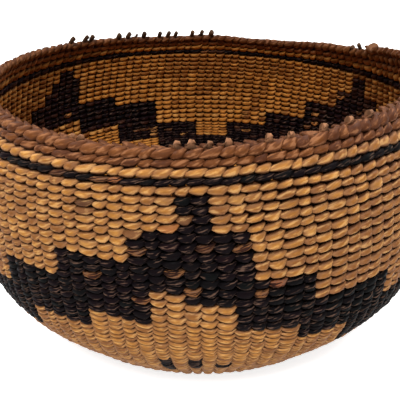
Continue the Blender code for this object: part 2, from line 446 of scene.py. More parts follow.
@dataclass
class Weave:
    """Lays the stitches of both faces out over the bowl, in courses round it."""

    form: BowlForm
    pattern: Pattern
    seed: int = 11
    uneven_warp: float = 0.11
    uneven_gap: float = 0.065
    uneven_run: float = 0.055
    uneven_top: float = 0.13
    uneven_rise: tuple = (0.96, 1.04)
    uneven_bulk: tuple = (0.92, 1.1)
    uneven_lift: float = 0.06
    top_rises: tuple = (1.14, 0.94, 1.02, 0.72, 0.98, 0.97, 0.97, 0.97, 0.97)
    top_bulks: tuple = (1.05, 0.95)
    rim_lift: float = 0.25
    wide_courses: int = 5
    tall_rise: float = 1.07
    tall_courses: int = 20
    even_courses: int = 46
    low_rise: float = 0.68
    thick_rise: float = 1.3
    thick_lift: float = 0.45
    thick_tone: float = 0.9
    added_warps: tuple = (23.0, 36.4)
    added_run: float = -0.55
    added_lift: float = 0.1
    added_bulk: float = 1.1
    added_lengths: tuple = (0.98, 1.08)
    added_rises: tuple = (1.15, 1.3)
    added_bulks: tuple = (0.95, 1.1)
    added_tones: tuple = (0.2, 0.9)
    drift_rows: float = 2.0
    drift_from: int = 4
    drift_most: int = 20
    drift_growth: float = 1.2
    drift_waves: int = 3
    drift_turn: float = math.radians(18)
    tilt_probe: float = 0.01
    top_drop: tuple = ((0.0, 0.008, 0.030), (0.0, 1.0, 0.0))
    front_drop: float = 0.0003
    side_drop: float = 0.0012
    strand_life: int = 14
    strand_share: float = 0.62
    thin_from: float = 0.050
    thin_to: float = 0.036
    base_stitch: float = 0.0036
    base_spread: float = 1.16
    low_spread: float = 1.08
    oval_at: tuple = ((1.0, 3.5, 25.0, 30.0), (0.0, 1.0, 1.0, 0.0))
    oval_courses: int = 19
    eye_share: float = 0.15
    least_ring: int = 4
    edges: Array = field(init=False)
    leans: Array = field(init=False)

    def __post_init__(self) -> None:
        """Works out how far each warp leans aside, and the run of each course's upper edge."""
        rng = np.random.default_rng(self.seed)
        self.leans = rng.uniform(-self.uneven_warp, self.uneven_warp, self.pattern.warps)
        rises = np.full(self.pattern.courses, self.low_rise)
        rises[: self.tall_courses] = self.tall_rise
        rises[: len(self.top_rises)] = self.top_rises
        wall = np.concatenate([[0.0], np.cumsum(rises)]) / rises.sum() * self.form.wall_run
        rings = round(self.form.foot_radius / (self.course * self.low_rise))
        base = self.form.foot_radius * np.arange(1, rings + 1) / (rings + self.eye_share)
        self.edges = np.concatenate([wall, self.form.wall_run + base])

    @property
    def course(self) -> float:
        """The height of an even course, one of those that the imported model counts."""
        return self.form.wall_run / self.even_courses

    def drift(self, turn: float, run: float) -> float:
        """How far a course lies below its even place at a turn.

        The courses wave most near the front, and the stripe hangs lowest at the sides.

        Args:
            turn: the turn round the bowl.
            run: the run that it would have without the drift.

        Returns:
            The drift, as a length of run.
        """
        row, last = run / self.course, self.even_courses
        dropped = float(np.interp(run, *self.top_drop))
        dropped *= self.front_drop + (self.side_drop - self.front_drop) * math.sin(turn) ** 2
        if not self.drift_from < row < last:
            return dropped
        if row < self.drift_most:
            share = ((row - self.drift_from) / (self.drift_most - self.drift_from)) ** self.drift_growth
        else:
            share = (1 + math.cos(math.pi * (row - self.drift_most) / (last - self.drift_most))) / 2
        near = ((1 + math.cos(turn)) / 2) ** 2
        waved = math.sin(self.drift_waves * turn + self.drift_turn)
        return dropped + self.drift_rows * self.course * share * near * waved

    def stitches_in(self, radius: float) -> int:
        """How many stitches a ring of a radius has. Warps are left out as it draws in.

        Args:
            radius: the radius of the ring.

        Returns:
            The count.
        """
        warps = self.pattern.warps
        if radius >= self.thin_from:
            return warps
        inner = FULL_TURN * self.thin_to / self.base_stitch
        if radius >= self.thin_to:
            share = (radius - self.thin_to) / (self.thin_from - self.thin_to)
            return round(inner + (warps - inner) * share)
        return max(round(FULL_TURN * radius / self.base_stitch), self.least_ring)

    def gaps(self, course: int, count: int, rng: Chance) -> Array:
        """The uneven gaps between the stitches of a course.

        Args:
            course: the course, counted from the rim.
            count: how many stitches it has.
            rng: the source of chance.

        Returns:
            The gaps, in stitches from the front.
        """
        uneven = self.uneven_top if course < self.wide_courses else self.uneven_gap
        places = np.arange(count) + rng.uniform(-uneven, uneven, count)
        return places + self.leans if count == self.pattern.warps else places

    def tones(self, count: int, rng: Chance) -> Array:
        """A tone for each stitch from 0 to 1. Two strands take turns, and each keeps its own for a while.

        Args:
            count: how many stitches there are.
            rng: the source of chance.

        Returns:
            The tones.
        """
        pieces = math.ceil(count / self.strand_life) + 1
        tones = np.empty(count)
        for strand in (0, 1):
            lives = np.repeat(rng.random(pieces), self.strand_life)[:count]
            tones[strand::2] = np.roll(lives, rng.integers(self.strand_life))[strand::2]
        return np.clip(self.strand_share * tones + (1 - self.strand_share) * rng.random(count), 0, 1)

    def lay(self, side: Side) -> dict[tuple[Weft, int], list[Stitch]]:
        """Lays out one face.

        Args:
            side: the face of the wall.

        Returns:
            The stitches of each field, by the field and, for a dark check, the number of its patch.
        """
        rng = np.random.default_rng(self.seed + 1 + list(Side).index(side))
        fields: dict[tuple[Weft, int], list[Stitch]] = {}
        for course, (upper, lower) in enumerate(zip(self.edges, self.edges[1:])):
            radius = float(self.form.radius_at((upper + lower) / 2))
            count = self.stitches_in(radius)
            gaps = self.gaps(course, count, rng)
            spans = np.diff(np.append(gaps, gaps[0] + count))
            for gap, span, tone in zip(gaps, spans, self.tones(count, rng)):
                turn = FULL_TURN * (gap + span / 2) / count
                spot = Spot(side, course, turn, turn / FULL_TURN * self.pattern.warps)
                made = self.stitch(spot, FULL_TURN * radius * span / count, tone, rng)
                fields.setdefault(self.field_of(spot, radius), []).append(made)
        fields[(Weft.RIM, 0)] += self.added_top(rng)
        return fields

    def stitch(self, spot: Spot, length: float, tone: float, rng: Chance) -> Stitch:
        """Works out one stitch.

        Args:
            spot: the stitch's place.
            length: its length.
            tone: its tone.
            rng: the source of chance.

        Returns:
            The stitch.
        """
        side, course, turn, _ = spot
        pattern = self.pattern
        edges = self.edges[course : course + 2]
        upper, lower = (edge + self.drift(turn, edge) for edge in edges)
        ends = self.form.surface(turn, np.array([upper, lower]), self.form.outer_depth)
        spread = self.base_spread if edges[1] > self.form.wall_run else 1.0
        if side is Side.INNER and course > self.tall_courses:
            spread = max(spread, self.low_spread)
        step, middle = self.tilt_probe, sum(edges) / 2
        slope = (self.drift(turn + step, middle) - self.drift(turn - step, middle)) / (2 * step)
        # The tone takes the stains and the painted shade and light of the table.
        tone = float(np.clip(tone + pattern.stained_and_painted_light(spot), 0, 1))
        stray = pattern.named_in(pattern.STRAYS[side], spot)
        if stray:
            tone = stray[2]
        thick = side is Side.OUTER and pattern.named_in(pattern.thick_stitches, spot)
        rise = float(np.linalg.norm(ends[0] - ends[1])) / self.course * spread
        bulk = self.top_bulks[course] if course < len(self.top_bulks) else 1.0
        lift = self.rim_lift if course == 0 else self.thick_lift if thick else 0.0
        return Stitch(
            turn=turn,
            run=(upper + lower) / 2 + self.course * rng.uniform(-self.uneven_run, self.uneven_run),
            length=length * spread,
            rise=rise * rng.uniform(*self.uneven_rise) * (self.thick_rise if thick else 1.0),
            bulk=bulk * rng.uniform(*self.uneven_bulk),
            lift=lift + rng.uniform(-self.uneven_lift, self.uneven_lift),
            tilt=slope,
            tone=self.thick_tone if thick else tone,
            kind=self.kind_of(spot, rng).value,
        )

    def kind_of(self, spot: Spot, rng: Chance) -> Kind:
        """The shape of a stitch. On the outside, those of the upper wall are ovals right of the peak.

        Args:
            spot: the stitch's place.
            rng: the source of chance.

        Returns:
            The kind of shape.
        """
        if spot.course < self.wide_courses - 1:
            return Kind.TOP
        share = np.interp(self.pattern.off(spot.warp, 0.0), *self.oval_at)
        upper = spot.side is Side.OUTER and spot.course < self.oval_courses
        oval = upper and rng.random() < share
        return Kind.OVAL if oval else Kind.WALL

    def added_top(self, rng: Chance) -> list[Stitch]:
        """The stitches of the short course that lies on the rim for part of the way round.

        Args:
            rng: the source of chance.

        Returns:
            The stitches.
        """
        first, last = self.added_warps
        length = FULL_TURN * float(self.form.radius_at(0.0)) / self.pattern.warps
        return [
            Stitch(
                turn=FULL_TURN * warp / self.pattern.warps,
                run=self.added_run * self.course,
                length=length * rng.uniform(*self.added_lengths),
                rise=rng.uniform(*self.added_rises),
                bulk=self.added_bulk * rng.uniform(*self.added_bulks),
                lift=self.added_lift,
                tilt=0.0,
                tone=rng.uniform(*self.added_tones),
                kind=Kind.TOP.value,
            )
            for warp in np.arange(last, first, -1.0)
        ]

    def field_of(self, spot: Spot, radius: float) -> tuple[Weft, int]:
        """The field of a stitch, with the number of its patch where it is a dark check outside.

        Args:
            spot: the stitch's place.
            radius: the radius of its course.

        Returns:
            The field, and the number or 0.
        """
        if spot.course >= self.pattern.courses:
            return (Weft.START if radius <= self.form.start_radius else Weft.BASE, 0)
        patch = self.pattern.check_at(spot)
        if spot.side is Side.OUTER and patch:
            return (Weft.CHECK, patch)
        return (self.pattern.weft_at(spot), 0)


# Stitch shapes


@dataclass
class StitchShape:
    """One stitch: a plump strand that lies over a warp, rising to its upper right, and dives at both ends.

    Its length is in stitches, its height in courses and its thickness in strands. Each row of its tail
    has a place along it, a depth, half a height and half a thickness.
    """

    places: tuple = (-1.0, -0.88, -0.5, 0.0, 0.5, 0.86, 1.0)
    tops: tuple = (0.10, 0.25, 0.44, 0.50, 0.52, 0.50, 0.42)
    feet: tuple = (-0.06, -0.22, -0.42, -0.57, -0.58, -0.18, 0.20)
    bulks: tuple = (0.20, 0.46, 0.78, 0.90, 0.80, 0.44, 0.26)
    tail: tuple = ((1.0, -0.9, 0.60, 0.85), (0.93, -1.6, 0.62, 0.80))
    sides: int = 7
    half_length: float = 0.54
    slant: float = 0.05
    shear: float = 0.10
    lap: float = 0.32
    end_drop: float = 0.62
    end_power: int = 6
    lift: float = -0.05
    squareness: float = 0.88
    length_share: float = 3.2
    variants: int = 10
    unevenness: float = 0.08
    shift_share: float = 0.4
    seed: int = 5

    def stations(self, rng: Chance) -> Array:
        """Rows of the middle line's three places, half the height and half the thickness, along the stitch.

        The last rows are its tail, which dives between two warps to the other face of the wall.

        Args:
            rng: the source of chance.

        Returns:
            The rows.
        """
        along, tops, feet, bulks = (np.array(v) for v in (self.places, self.tops, self.feet, self.bulks))
        chance = rng.uniform(-1, 1, 5) * self.unevenness
        x = self.half_length * along
        y = (tops + feet) / 2 + self.slant * along + chance[0] * self.shift_share + chance[1] * along
        z = self.lift - self.end_drop * np.abs(along) ** self.end_power
        height = (tops - feet) / 2 * (1 + chance[2]) * (1 + chance[4] * along)
        tail = [(self.half_length * far, 0.0, *rest) for far, *rest in self.tail]
        return np.vstack([np.stack([x, y, z, height, bulks * (1 + chance[3])], axis=-1), *tail])

    def mesh(self, name: str, rng: Chance) -> bpy.types.Mesh:
        """One closed stitch with a UV map that runs along its fibres.

        Args:
            name: the mesh's name.
            rng: the source of chance.

        Returns:
            The mesh.
        """
        rows, sides = self.stations(rng), self.sides
        heading = np.gradient(rows[:, [0, 2]] * (self.length_share, 1.0), axis=0)
        heading /= np.linalg.norm(heading, axis=1)[:, None]
        points = []
        for (x, y, z, height, bulk), (onward, outward) in zip(rows, heading):
            for turn in FULL_TURN * np.arange(sides) / sides - math.pi / 2:
                circle = (math.cos(turn), math.sin(turn))
                up, out = (math.copysign(abs(v) ** self.squareness, v) for v in circle)
                high = y + up * height
                beside = self.shear * high - outward * out * bulk / self.length_share
                points.append((x + beside, high, z + onward * out * bulk - self.lap * high))
        faces, last = [], len(points) - sides
        for first in range(0, last, sides):
            for side in range(sides):
                a, b = first + side, first + (side + 1) % sides
                faces.append((a, b, b + sides, a + sides))
        faces += [tuple(reversed(range(sides))), tuple(range(last, len(points)))]
        mesh = bpy.data.meshes.new(name)
        mesh.from_pydata(points, [], faces)
        self.unwrap(mesh)
        mesh.shade_smooth()
        return mesh

    def unwrap(self, mesh: bpy.types.Mesh) -> None:
        """Writes the UV map: along the strand from 0 to 1, and round it from the side on the warp.

        Args:
            mesh: the stitch's mesh.
        """
        along = np.append(0.5 + 0.5 * np.array(self.places), np.ones(len(self.tail)))
        layer = mesh.uv_layers.new(name="UVMap")
        for face in mesh.polygons:
            places = [divmod(mesh.loops[loop].vertex_index, self.sides) for loop in face.loop_indices]
            wraps = len(places) == 4 and max(side for _, side in places) == self.sides - 1
            for loop, (ring, side) in zip(face.loop_indices, places):
                turned = 1.0 if wraps and side == 0 else side / self.sides
                layer.data[loop].uv = (along[ring], turned)

    def add_to(self, shapes: bpy.types.Collection, name: str) -> None:
        """Adds the stitch's variants to a collection, which isn't linked to the scene.

        Args:
            shapes: the collection.
            name: what the names of the variants start with.
        """
        rng = np.random.default_rng(self.seed)
        for number in range(self.variants):
            mesh = self.mesh(f"{name}_{number}", rng)
            shapes.objects.link(bpy.data.objects.new(mesh.name, mesh))


OUTER_WALL = StitchShape()
OUTER_TOP = StitchShape(slant=0.17, half_length=0.62, lap=0.2, end_drop=0.5, tail=())
OUTER_OVAL = StitchShape(
    tops=(0.02, 0.21, 0.39, 0.45, 0.44, 0.38, 0.26),
    feet=(-0.16, -0.31, -0.44, -0.48, -0.45, -0.26, 0.00),
    slant=0.09,
    half_length=0.53,
    lap=0.26,
    end_drop=0.7,
    seed=6,
)
INNER_WALL = StitchShape(sides=5, slant=0.02, half_length=0.49, end_drop=0.85, lap=0.12, seed=9)
INNER_TOP = StitchShape(sides=5, slant=0.15, half_length=0.6, lap=0.1, end_drop=0.4, tail=(), seed=8)
STITCHES = {
    Side.OUTER: {Kind.OVAL: OUTER_OVAL, Kind.TOP: OUTER_TOP, Kind.WALL: OUTER_WALL},
    Side.INNER: {Kind.OVAL: INNER_WALL, Kind.TOP: INNER_TOP, Kind.WALL: INNER_WALL},
}


# Node trees


class NodeMaker:
    """Adds nodes to one tree and links them."""

    def __init__(self, tree: bpy.types.NodeTree) -> None:
        """Takes the tree that the nodes go into."""
        self.tree = tree

    def set(self, socket: Socket, value: object) -> None:
        """Links a socket, or writes a plain value to it.

        Args:
            socket: the input.
            value: the value, or the output to link.
        """
        if isinstance(value, Socket):
            self.tree.links.new(value, socket)
        else:
            socket.default_value = value

    def node(self, kind: str, inputs: dict | None = None, **settings: object) -> bpy.types.Node:
        """Adds a node.

        Args:
            kind: its type.
            inputs: what its inputs get, a value or a socket, by their names or numbers.
            settings: its settings.

        Returns:
            The node.
        """
        made = self.tree.nodes.new(kind)
        for name, value in settings.items():
            setattr(made, name, value)
        for key, value in (inputs or {}).items():
            self.set(made.inputs[key], value)
        return made

    def maths(self, operation: str, first: object, second: object = 0.0) -> Socket:
        """One sum of two values, each a number or a socket."""
        return self.node("ShaderNodeMath", {0: first, 1: second}, operation=operation).outputs[0]


class Tree(NodeMaker):
    """A Geometry Nodes tree with named inputs, and a run of it over an object.

    CARRIED names the attributes that only the tree needs.
    """

    CARRIED: tuple = ()

    def __init__(self, name: str, inputs: dict[str, tuple]) -> None:
        """Starts a tree that takes a geometry, some inputs and a finish.

        Args:
            name: its name.
            inputs: the kind of each input by its name, with its standing value where it has one.
        """
        super().__init__(bpy.data.node_groups.new(name, "GeometryNodeTree"))
        add = self.tree.interface.new_socket
        add("Geometry", in_out="OUTPUT", socket_type="NodeSocketGeometry")
        self.sockets = {}
        inputs = {"Geometry": ("Geometry",), **inputs, "Finish": ("Material",)}
        for key, (kind, *values) in inputs.items():
            socket = add(key, in_out="INPUT", socket_type="NodeSocket" + kind)
            for value in values:
                socket.default_value = value
            self.sockets[key] = socket.identifier
        self.given = self.node("NodeGroupInput").outputs

    def named(self, name: str, kind: str = "FLOAT") -> Socket:
        """Reads a named attribute."""
        return self.node("GeometryNodeInputNamedAttribute", {"Name": name}, data_type=kind).outputs[0]

    def finish(self, geometry: Socket) -> None:
        """Ends the tree: instances turn into plain faces, which get their finish.

        Args:
            geometry: the geometry so far.
        """
        real = self.node("GeometryNodeRealizeInstances", {0: geometry}).outputs[0]
        inputs = {"Geometry": real, "Material": self.given["Finish"]}
        self.node("NodeGroupOutput", {0: self.node("GeometryNodeSetMaterial", inputs).outputs[0]})

    def grow(self, source: Piece, values: dict[str, object], name: str) -> Piece:
        """Runs the tree over an object and keeps the result as a plain mesh.

        Args:
            source: the object that holds the points or the lines. It is removed.
            values: a value for each named input that isn't left at its standing value.
            name: the name of the piece.

        Returns:
            The new object, at the origin.
        """
        modifier = source.modifiers.new("grow", "NODES")
        modifier.node_group = self.tree
        for key, value in values.items():
            modifier[self.sockets[key]] = value
        bpy.context.scene.collection.objects.link(source)
        graph = bpy.context.evaluated_depsgraph_get()
        graph.update()
        mesh = bpy.data.meshes.new_from_object(source.evaluated_get(graph), depsgraph=graph)
        source.modifiers.remove(modifier)
        bpy.data.objects.remove(source, do_unlink=True)
        mesh.name = name
        for key in self.CARRIED:
            if key in mesh.attributes:
                mesh.attributes.remove(mesh.attributes[key])
        return linked(name, mesh)


def linked(name: str, data: bpy.types.ID) -> Piece:
    """A new object with this data, in the scene.

    Args:
        name: its name.
        data: its mesh, its light or its camera.

    Returns:
        The object.
    """
    made = bpy.data.objects.new(name, data)
    bpy.context.scene.collection.objects.link(made)
    return made


def source_object(name: str, places: Array, edges: list, values: dict[str, Array]) -> Piece:
    """An object of points with named attributes, for a tree to grow.

    Args:
        name: the object's name.
        places: one row of x, y and z for each point.
        edges: the pairs of points that lines join.
        values: numbers or vectors for each point, by name.

    Returns:
        The object, not yet linked to the scene.
    """
    mesh = bpy.data.meshes.new(name)
    mesh.from_pydata(places.tolist(), edges, [])
    for key, data in values.items():
        data = np.asarray(data, np.float32)
        kind, slot = ("FLOAT_VECTOR", "vector") if data.ndim == 2 else ("FLOAT", "value")
        mesh.attributes.new(key, kind, "POINT").data.foreach_set(slot, data.ravel())
    return bpy.data.objects.new(name, mesh)


class StitchTree(Tree):
    """Sets a stitch on each point, turned and sized by the point's own values."""

    CARRIED = ("turned", "length", "rise", "bulk", "kind")

    def __init__(self, variants: int) -> None:
        """Builds the tree.

        Args:
            variants: how many variants there are of each kind of stitch.
        """
        inputs = {
            "Stitches": ("Collection",),
            "Course Height": ("Float", 0.002),
            "Strand Thickness": ("Float", 0.001),
            "Tone Spread": ("Float", 0.1),
            "Seed": ("Int", 0),
        }
        super().__init__("twined_stitches", inputs)
        given, seed = self.given, {"Seed": self.given["Seed"]}
        inputs = {"Separate Children": True, "Reset Children": True, "Collection": given["Stitches"]}
        shapes = self.node("GeometryNodeCollectionInfo", inputs)
        pick = self.node("FunctionNodeRandomValue", {4: 0, 5: variants - 1, **seed}, data_type="INT")
        first = self.maths("MULTIPLY", self.named("kind"), variants)
        facing = {0: self.named("turned", "FLOAT_VECTOR")}
        size = {
            0: self.named("length"),
            1: self.maths("MULTIPLY", self.named("rise"), given["Course Height"]),
            2: self.maths("MULTIPLY", self.named("bulk"), given["Strand Thickness"]),
        }
        inputs = {
            "Points": given["Geometry"],
            "Instance": shapes.outputs[0],
            "Pick Instance": True,
            "Instance Index": self.maths("ADD", first, pick.outputs[2]),
            "Rotation": self.node("FunctionNodeEulerToRotation", facing).outputs[0],
            "Scale": self.node("ShaderNodeCombineXYZ", size).outputs[0],
        }
        place = self.node("GeometryNodeInstanceOnPoints", inputs)
        chance = self.node("FunctionNodeRandomValue", seed, data_type="FLOAT").outputs[1]
        spread = self.maths("MULTIPLY", self.maths("SUBTRACT", chance, 0.5), given["Tone Spread"])
        tone = self.maths("ADD", self.named("tone"), spread)
        inputs = {"Geometry": place.outputs[0], "Name": "tone", "Value": tone}
        kept = self.node("GeometryNodeStoreNamedAttribute", inputs, data_type="FLOAT", domain="INSTANCE")
        self.finish(kept.outputs[0])


class StalkTree(Tree):
    """Makes a round stalk along each line, as thick as its points' own values say."""

    CARRIED = ("thick",)

    def __init__(self) -> None:
        """Builds the tree."""
        super().__init__("stalks", {"Sides": ("Int", 8), "Thickness Share": ("Float", 1.0)})
        given = self.given
        ring = self.node("GeometryNodeCurvePrimitiveCircle", {"Radius": 1.0, "Resolution": given["Sides"]})
        inputs = {
            "Curve": self.node("GeometryNodeMeshToCurve", {0: given["Geometry"]}).outputs[0],
            "Profile Curve": ring.outputs[0],
            "Scale": self.maths("MULTIPLY", self.named("thick"), given["Thickness Share"]),
            "Fill Caps": True,
        }
        sweep = self.node("GeometryNodeCurveToMesh", inputs)
        self.finish(self.node("GeometryNodeSetShadeSmooth", {0: sweep.outputs[0]}).outputs[0])


# Finishes


class Shading(NodeMaker):
    """Builds one node-based material."""

    def __init__(self, name: str) -> None:
        """Starts a material with its shader.

        Args:
            name: the material's name.
        """
        self.material = bpy.data.materials.new(name)
        self.material.use_nodes = True
        super().__init__(self.material.node_tree)
        self.shader = self.tree.nodes["Principled BSDF"]

    def attribute(self, name: str) -> Socket:
        """Reads one of the piece's own attributes."""
        return self.node("ShaderNodeAttribute", attribute_name=name).outputs["Fac"]

    def ranged(self, value: object, low: float, high: float, start: float = 0.0, end: float = 1.0) -> Socket:
        """A value brought from one range to another, and held inside it."""
        return self.node("ShaderNodeMapRange", dict(enumerate((value, low, high, start, end)))).outputs[0]

    def noise(self, vector: Socket, scale: float, detail: float = 3.0) -> Socket:
        """Noise over a vector, from 0 to 1."""
        inputs = {"Vector": vector, "Scale": scale, "Detail": detail}
        return self.node("ShaderNodeTexNoise", inputs, noise_dimensions="3D").outputs[0]

    def blend(self, share: object, first: object, second: object, way: str = "MIX") -> Socket:
        """A mix of two colours."""
        inputs = {0: share, 6: first, 7: second}
        return self.node("ShaderNodeMix", inputs, data_type="RGBA", blend_type=way).outputs[2]

    def ramp(self, value: Socket, stops: tuple) -> Socket:
        """Colours along a value.

        Args:
            value: the value.
            stops: the places and their colours.

        Returns:
            The colour.
        """
        made = self.node("ShaderNodeValToRGB", {0: value})
        elements = made.color_ramp.elements
        while len(elements) < len(stops):
            elements.new(1.0)
        for element, (place, colour) in zip(elements, stops):
            element.position = place
            element.color = colour
        return made.outputs[0]

    def finished(self, colour: Socket, rough: Socket, gloss: float, bump: dict) -> bpy.types.Material:
        """The material, once its shader has a colour, a roughness, a gloss and a bump.

        Args:
            colour: the colour.
            rough: the roughness.
            gloss: the specular level.
            bump: what the inputs of the bump get.

        Returns:
            The material.
        """
        inputs = {
            "Base Color": colour,
            "Roughness": rough,
            "Specular IOR Level": gloss,
            "Normal": self.node("ShaderNodeBump", bump).outputs[0],
        }
        for name, value in inputs.items():
            self.set(self.shader.inputs[name], value)
        return self.material


@dataclass(frozen=True)
class WeftFinish:
    """Plant fibre of one colour: tones from strand to strand, fibres along it and painted edge shade.

    A tone from 0 to 1 runs from deep to pale and odd, and the part of a higher one that is over 1
    picks a stray colour. Pairs are the ends of ranges: of the noise, or of the way from the middle of
    the strand to its side or its end.
    """

    name: str
    slot: str
    deep: Colour
    middle: Colour
    pale: Colour
    odd: Colour
    flank: Colour
    streak_and_glint: Colour
    strays: tuple = (
        (0.4, (0.09, 0.036, 0.016, 1.0)),
        (0.5, (0.20, 0.085, 0.032, 1.0)),
        (0.6, (0.21, 0.085, 0.030, 1.0)),
        (0.7, (0.25, 0.085, 0.036, 1.0)),
        (0.8, (0.46, 0.18, 0.048, 1.0)),
        (1.0, (0.50, 0.24, 0.070, 1.0)),
    )
    tone_stops: tuple = (0.0, 0.3, 0.72, 0.97, 1.0)
    least_stray: float = 1.2
    groove: Colour = (0.42, 0.36, 0.32, 1.0)
    # The colour that the painted shade at the sides and ends of each stitch multiplies in.
    shadow: Colour = (0.16, 0.11, 0.115, 1.0)
    rough: tuple = (0.48, 0.72)
    fibres: float = 5.5
    fibre_length: float = 1.4
    fibre_twist: float = 0.16
    fibre_scale: float = 1.6
    tone_shift: float = 61.0
    fibre_depth: float = 0.00016
    fibre_strength: float = 0.8
    fibre_share: float = 0.55
    flank_share: float = 0.55
    streak_share: float = 0.25
    edge_shade_share: float = 0.9
    rough_fibres: tuple = (0.3, 0.7)
    groove_fibres: tuple = (0.38, 0.62)
    stray_fibres: tuple = (-1.0, 0.0)
    streak_fibres: tuple = (0.53, 0.64)
    flank_sides: tuple = (0.03, 0.12)
    flank_ends: tuple = (0.12, 0.36)
    edge_shade_sides: tuple = (0.10, 0.185)
    edge_shade_ends: tuple = (0.37, 0.48)
    blotches: tuple = (0.42, 0.72)
    blotch_scale: float = 90.0
    stain: float = 0.5
    gloss: float = 0.10

    def material(self) -> bpy.types.Material:
        """Builds the material.

        Returns:
            The material.
        """
        make = Shading(self.name)
        tone = make.attribute("tone")
        uv = make.node("ShaderNodeUVMap", uv_map="UVMap").outputs[0]
        along, across, _ = make.node("ShaderNodeSeparateXYZ", {0: uv}).outputs
        twisted = make.maths("ADD", across, make.maths("MULTIPLY", along, self.fibre_twist))
        place = {
            0: make.maths("MULTIPLY", along, self.fibre_length),
            1: make.maths("MULTIPLY", twisted, self.fibres),
            2: make.maths("MULTIPLY", tone, self.tone_shift),
        }
        fibre = make.noise(make.node("ShaderNodeCombineXYZ", place).outputs[0], self.fibre_scale)
        blotch = make.noise(make.node("ShaderNodeTexCoord").outputs["Object"], self.blotch_scale)
        from_crest = make.maths("ABSOLUTE", make.maths("SUBTRACT", across, 0.5))
        from_middle = make.maths("ABSOLUTE", make.maths("SUBTRACT", along, 0.5))
        tones = (self.deep, self.middle, self.middle, self.pale, self.odd)
        colour = make.ramp(tone, tuple(zip(self.tone_stops, tones)))
        colour = make.blend(make.ranged(blotch, *self.blotches, 0.0, self.stain), colour, self.deep)
        beside = make.ranged(from_crest, *self.flank_sides)
        aside = make.maths("MAXIMUM", beside, make.ranged(from_middle, *self.flank_ends))
        colour = make.blend(make.maths("MULTIPLY", aside, self.flank_share), colour, self.flank)
        strays = make.ramp(make.maths("SUBTRACT", tone, 1.0), self.strays)
        stray = make.maths("GREATER_THAN", tone, self.least_stray)
        stray = make.maths("MULTIPLY", stray, make.ranged(fibre, *self.stray_fibres))
        colour = make.blend(stray, colour, strays)
        dark = make.blend(1.0, colour, self.groove, "MULTIPLY")
        colour = make.blend(make.ranged(fibre, *self.groove_fibres, self.fibre_share, 0.0), colour, dark)
        # Paler streaks along the fibres; on the dark finish they are partly painted glints on the stitches.
        streak_and_glint = make.ranged(fibre, *self.streak_fibres, 0.0, self.streak_share)
        colour = make.blend(streak_and_glint, colour, self.streak_and_glint)
        # Painted shade: darker towards the upper and lower sides and the ends of each stitch, where it tucks
        # under its neighbours.
        shade = make.blend(1.0, colour, self.shadow, "MULTIPLY")
        for far, edge in ((from_crest, self.edge_shade_sides), (from_middle, self.edge_shade_ends)):
            colour = make.blend(make.ranged(far, *edge, 0.0, self.edge_shade_share), colour, shade)
        rough = make.ranged(fibre, *self.rough_fibres, *self.rough)
        bump = {"Strength": self.fibre_strength, "Distance": self.fibre_depth, "Height": fibre}
        return make.finished(colour, rough, self.gloss, bump)


@dataclass(frozen=True)
class StalkFinish:
    """Peeled stalks: brown, with a long grain that varies from stalk to stalk."""

    name: str
    deep: Colour
    pale: Colour
    cut: Colour
    grain: float = 900.0
    grain_stretch: tuple = (1.0, 1.0, 0.12)
    grain_depth: float = 0.00006
    grain_strength: float = 0.7
    grooves: tuple = (0.35, 0.65)
    groove_share: float = 0.6
    rough_grain: tuple = (0.3, 0.7)
    shades: float = 260.0
    shade_range: tuple = (0.3, 0.7)
    rough: tuple = (0.6, 0.85)
    gloss: float = 0.08

    def material(self) -> bpy.types.Material:
        """Builds the material.

        Returns:
            The material.
        """
        make = Shading(self.name)
        place = make.node("ShaderNodeTexCoord").outputs["Object"]
        stretched = make.node("ShaderNodeMapping", {"Scale": self.grain_stretch, "Vector": place})
        grain = make.noise(stretched.outputs[0], self.grain)
        shade = make.ranged(make.noise(place, self.shades, 1.0), *self.shade_range)
        colour = make.blend(shade, self.deep, self.pale)
        colour = make.blend(make.attribute("cut"), colour, self.cut)
        colour = make.blend(make.ranged(grain, *self.grooves, self.groove_share, 0.0), colour, self.deep)
        rough = make.ranged(grain, *self.rough_grain, *self.rough)
        bump = {"Strength": self.grain_strength, "Distance": self.grain_depth, "Height": grain}
        return make.finished(colour, rough, self.gloss, bump)


TAN_FINISH = WeftFinish(
    "tan_weft",
    "tan_weft",
    deep=(0.24, 0.090, 0.021, 1.0),
    middle=(0.46, 0.198, 0.040, 1.0),
    pale=(0.57, 0.285, 0.075, 1.0),
    odd=(0.22, 0.080, 0.024, 1.0),
    flank=(0.32, 0.150, 0.068, 1.0),
    streak_and_glint=(0.66, 0.39, 0.15, 1.0),
    flank_share=0.7,
    streak_share=0.4,
)
# A more orange copy for the inner face, lighter in its middle and pale tones: partly fibre less faded
# inside, partly painted light for the inside of the bowl.
TAN_INNER_FINISH = replace(
    TAN_FINISH,
    name="tan_weft_inside",
    deep=(0.19, 0.060, 0.010, 1.0),
    middle=(0.54, 0.214, 0.036, 1.0),
    pale=(0.66, 0.33, 0.088, 1.0),
    odd=(0.14, 0.045, 0.012, 1.0),
    flank=(0.34, 0.125, 0.028, 1.0),
    streak_and_glint=(0.56, 0.28, 0.075, 1.0),
    stain=0.75,
    gloss=0.06,
)
BROWN_FINISH = WeftFinish(
    "brown_weft",
    "brown_weft",
    deep=(0.085, 0.026, 0.009, 1.0),
    middle=(0.164, 0.053, 0.012, 1.0),
    pale=(0.235, 0.082, 0.022, 1.0),
    odd=(0.28, 0.11, 0.032, 1.0),
    flank=(0.125, 0.043, 0.018, 1.0),
    streak_and_glint=(0.35, 0.155, 0.070, 1.0),
    fibre_share=0.7,
    streak_share=0.5,
    flank_share=0.5,
    gloss=0.08,
)
# A lighter copy for the inner face: partly fibre less faded inside, partly painted light for the inside of
# the bowl.
BROWN_INNER_FINISH = replace(
    BROWN_FINISH,
    name="brown_weft_inside",
    deep=(0.14, 0.046, 0.016, 1.0),
    middle=(0.32, 0.112, 0.034, 1.0),
    pale=(0.42, 0.165, 0.055, 1.0),
    flank=(0.24, 0.085, 0.032, 1.0),
)
# The rim course, seen from above, gets less of the painted edge shade.
RIM_FINISH = replace(BROWN_FINISH, name="rim_weft", edge_shade_share=0.35)
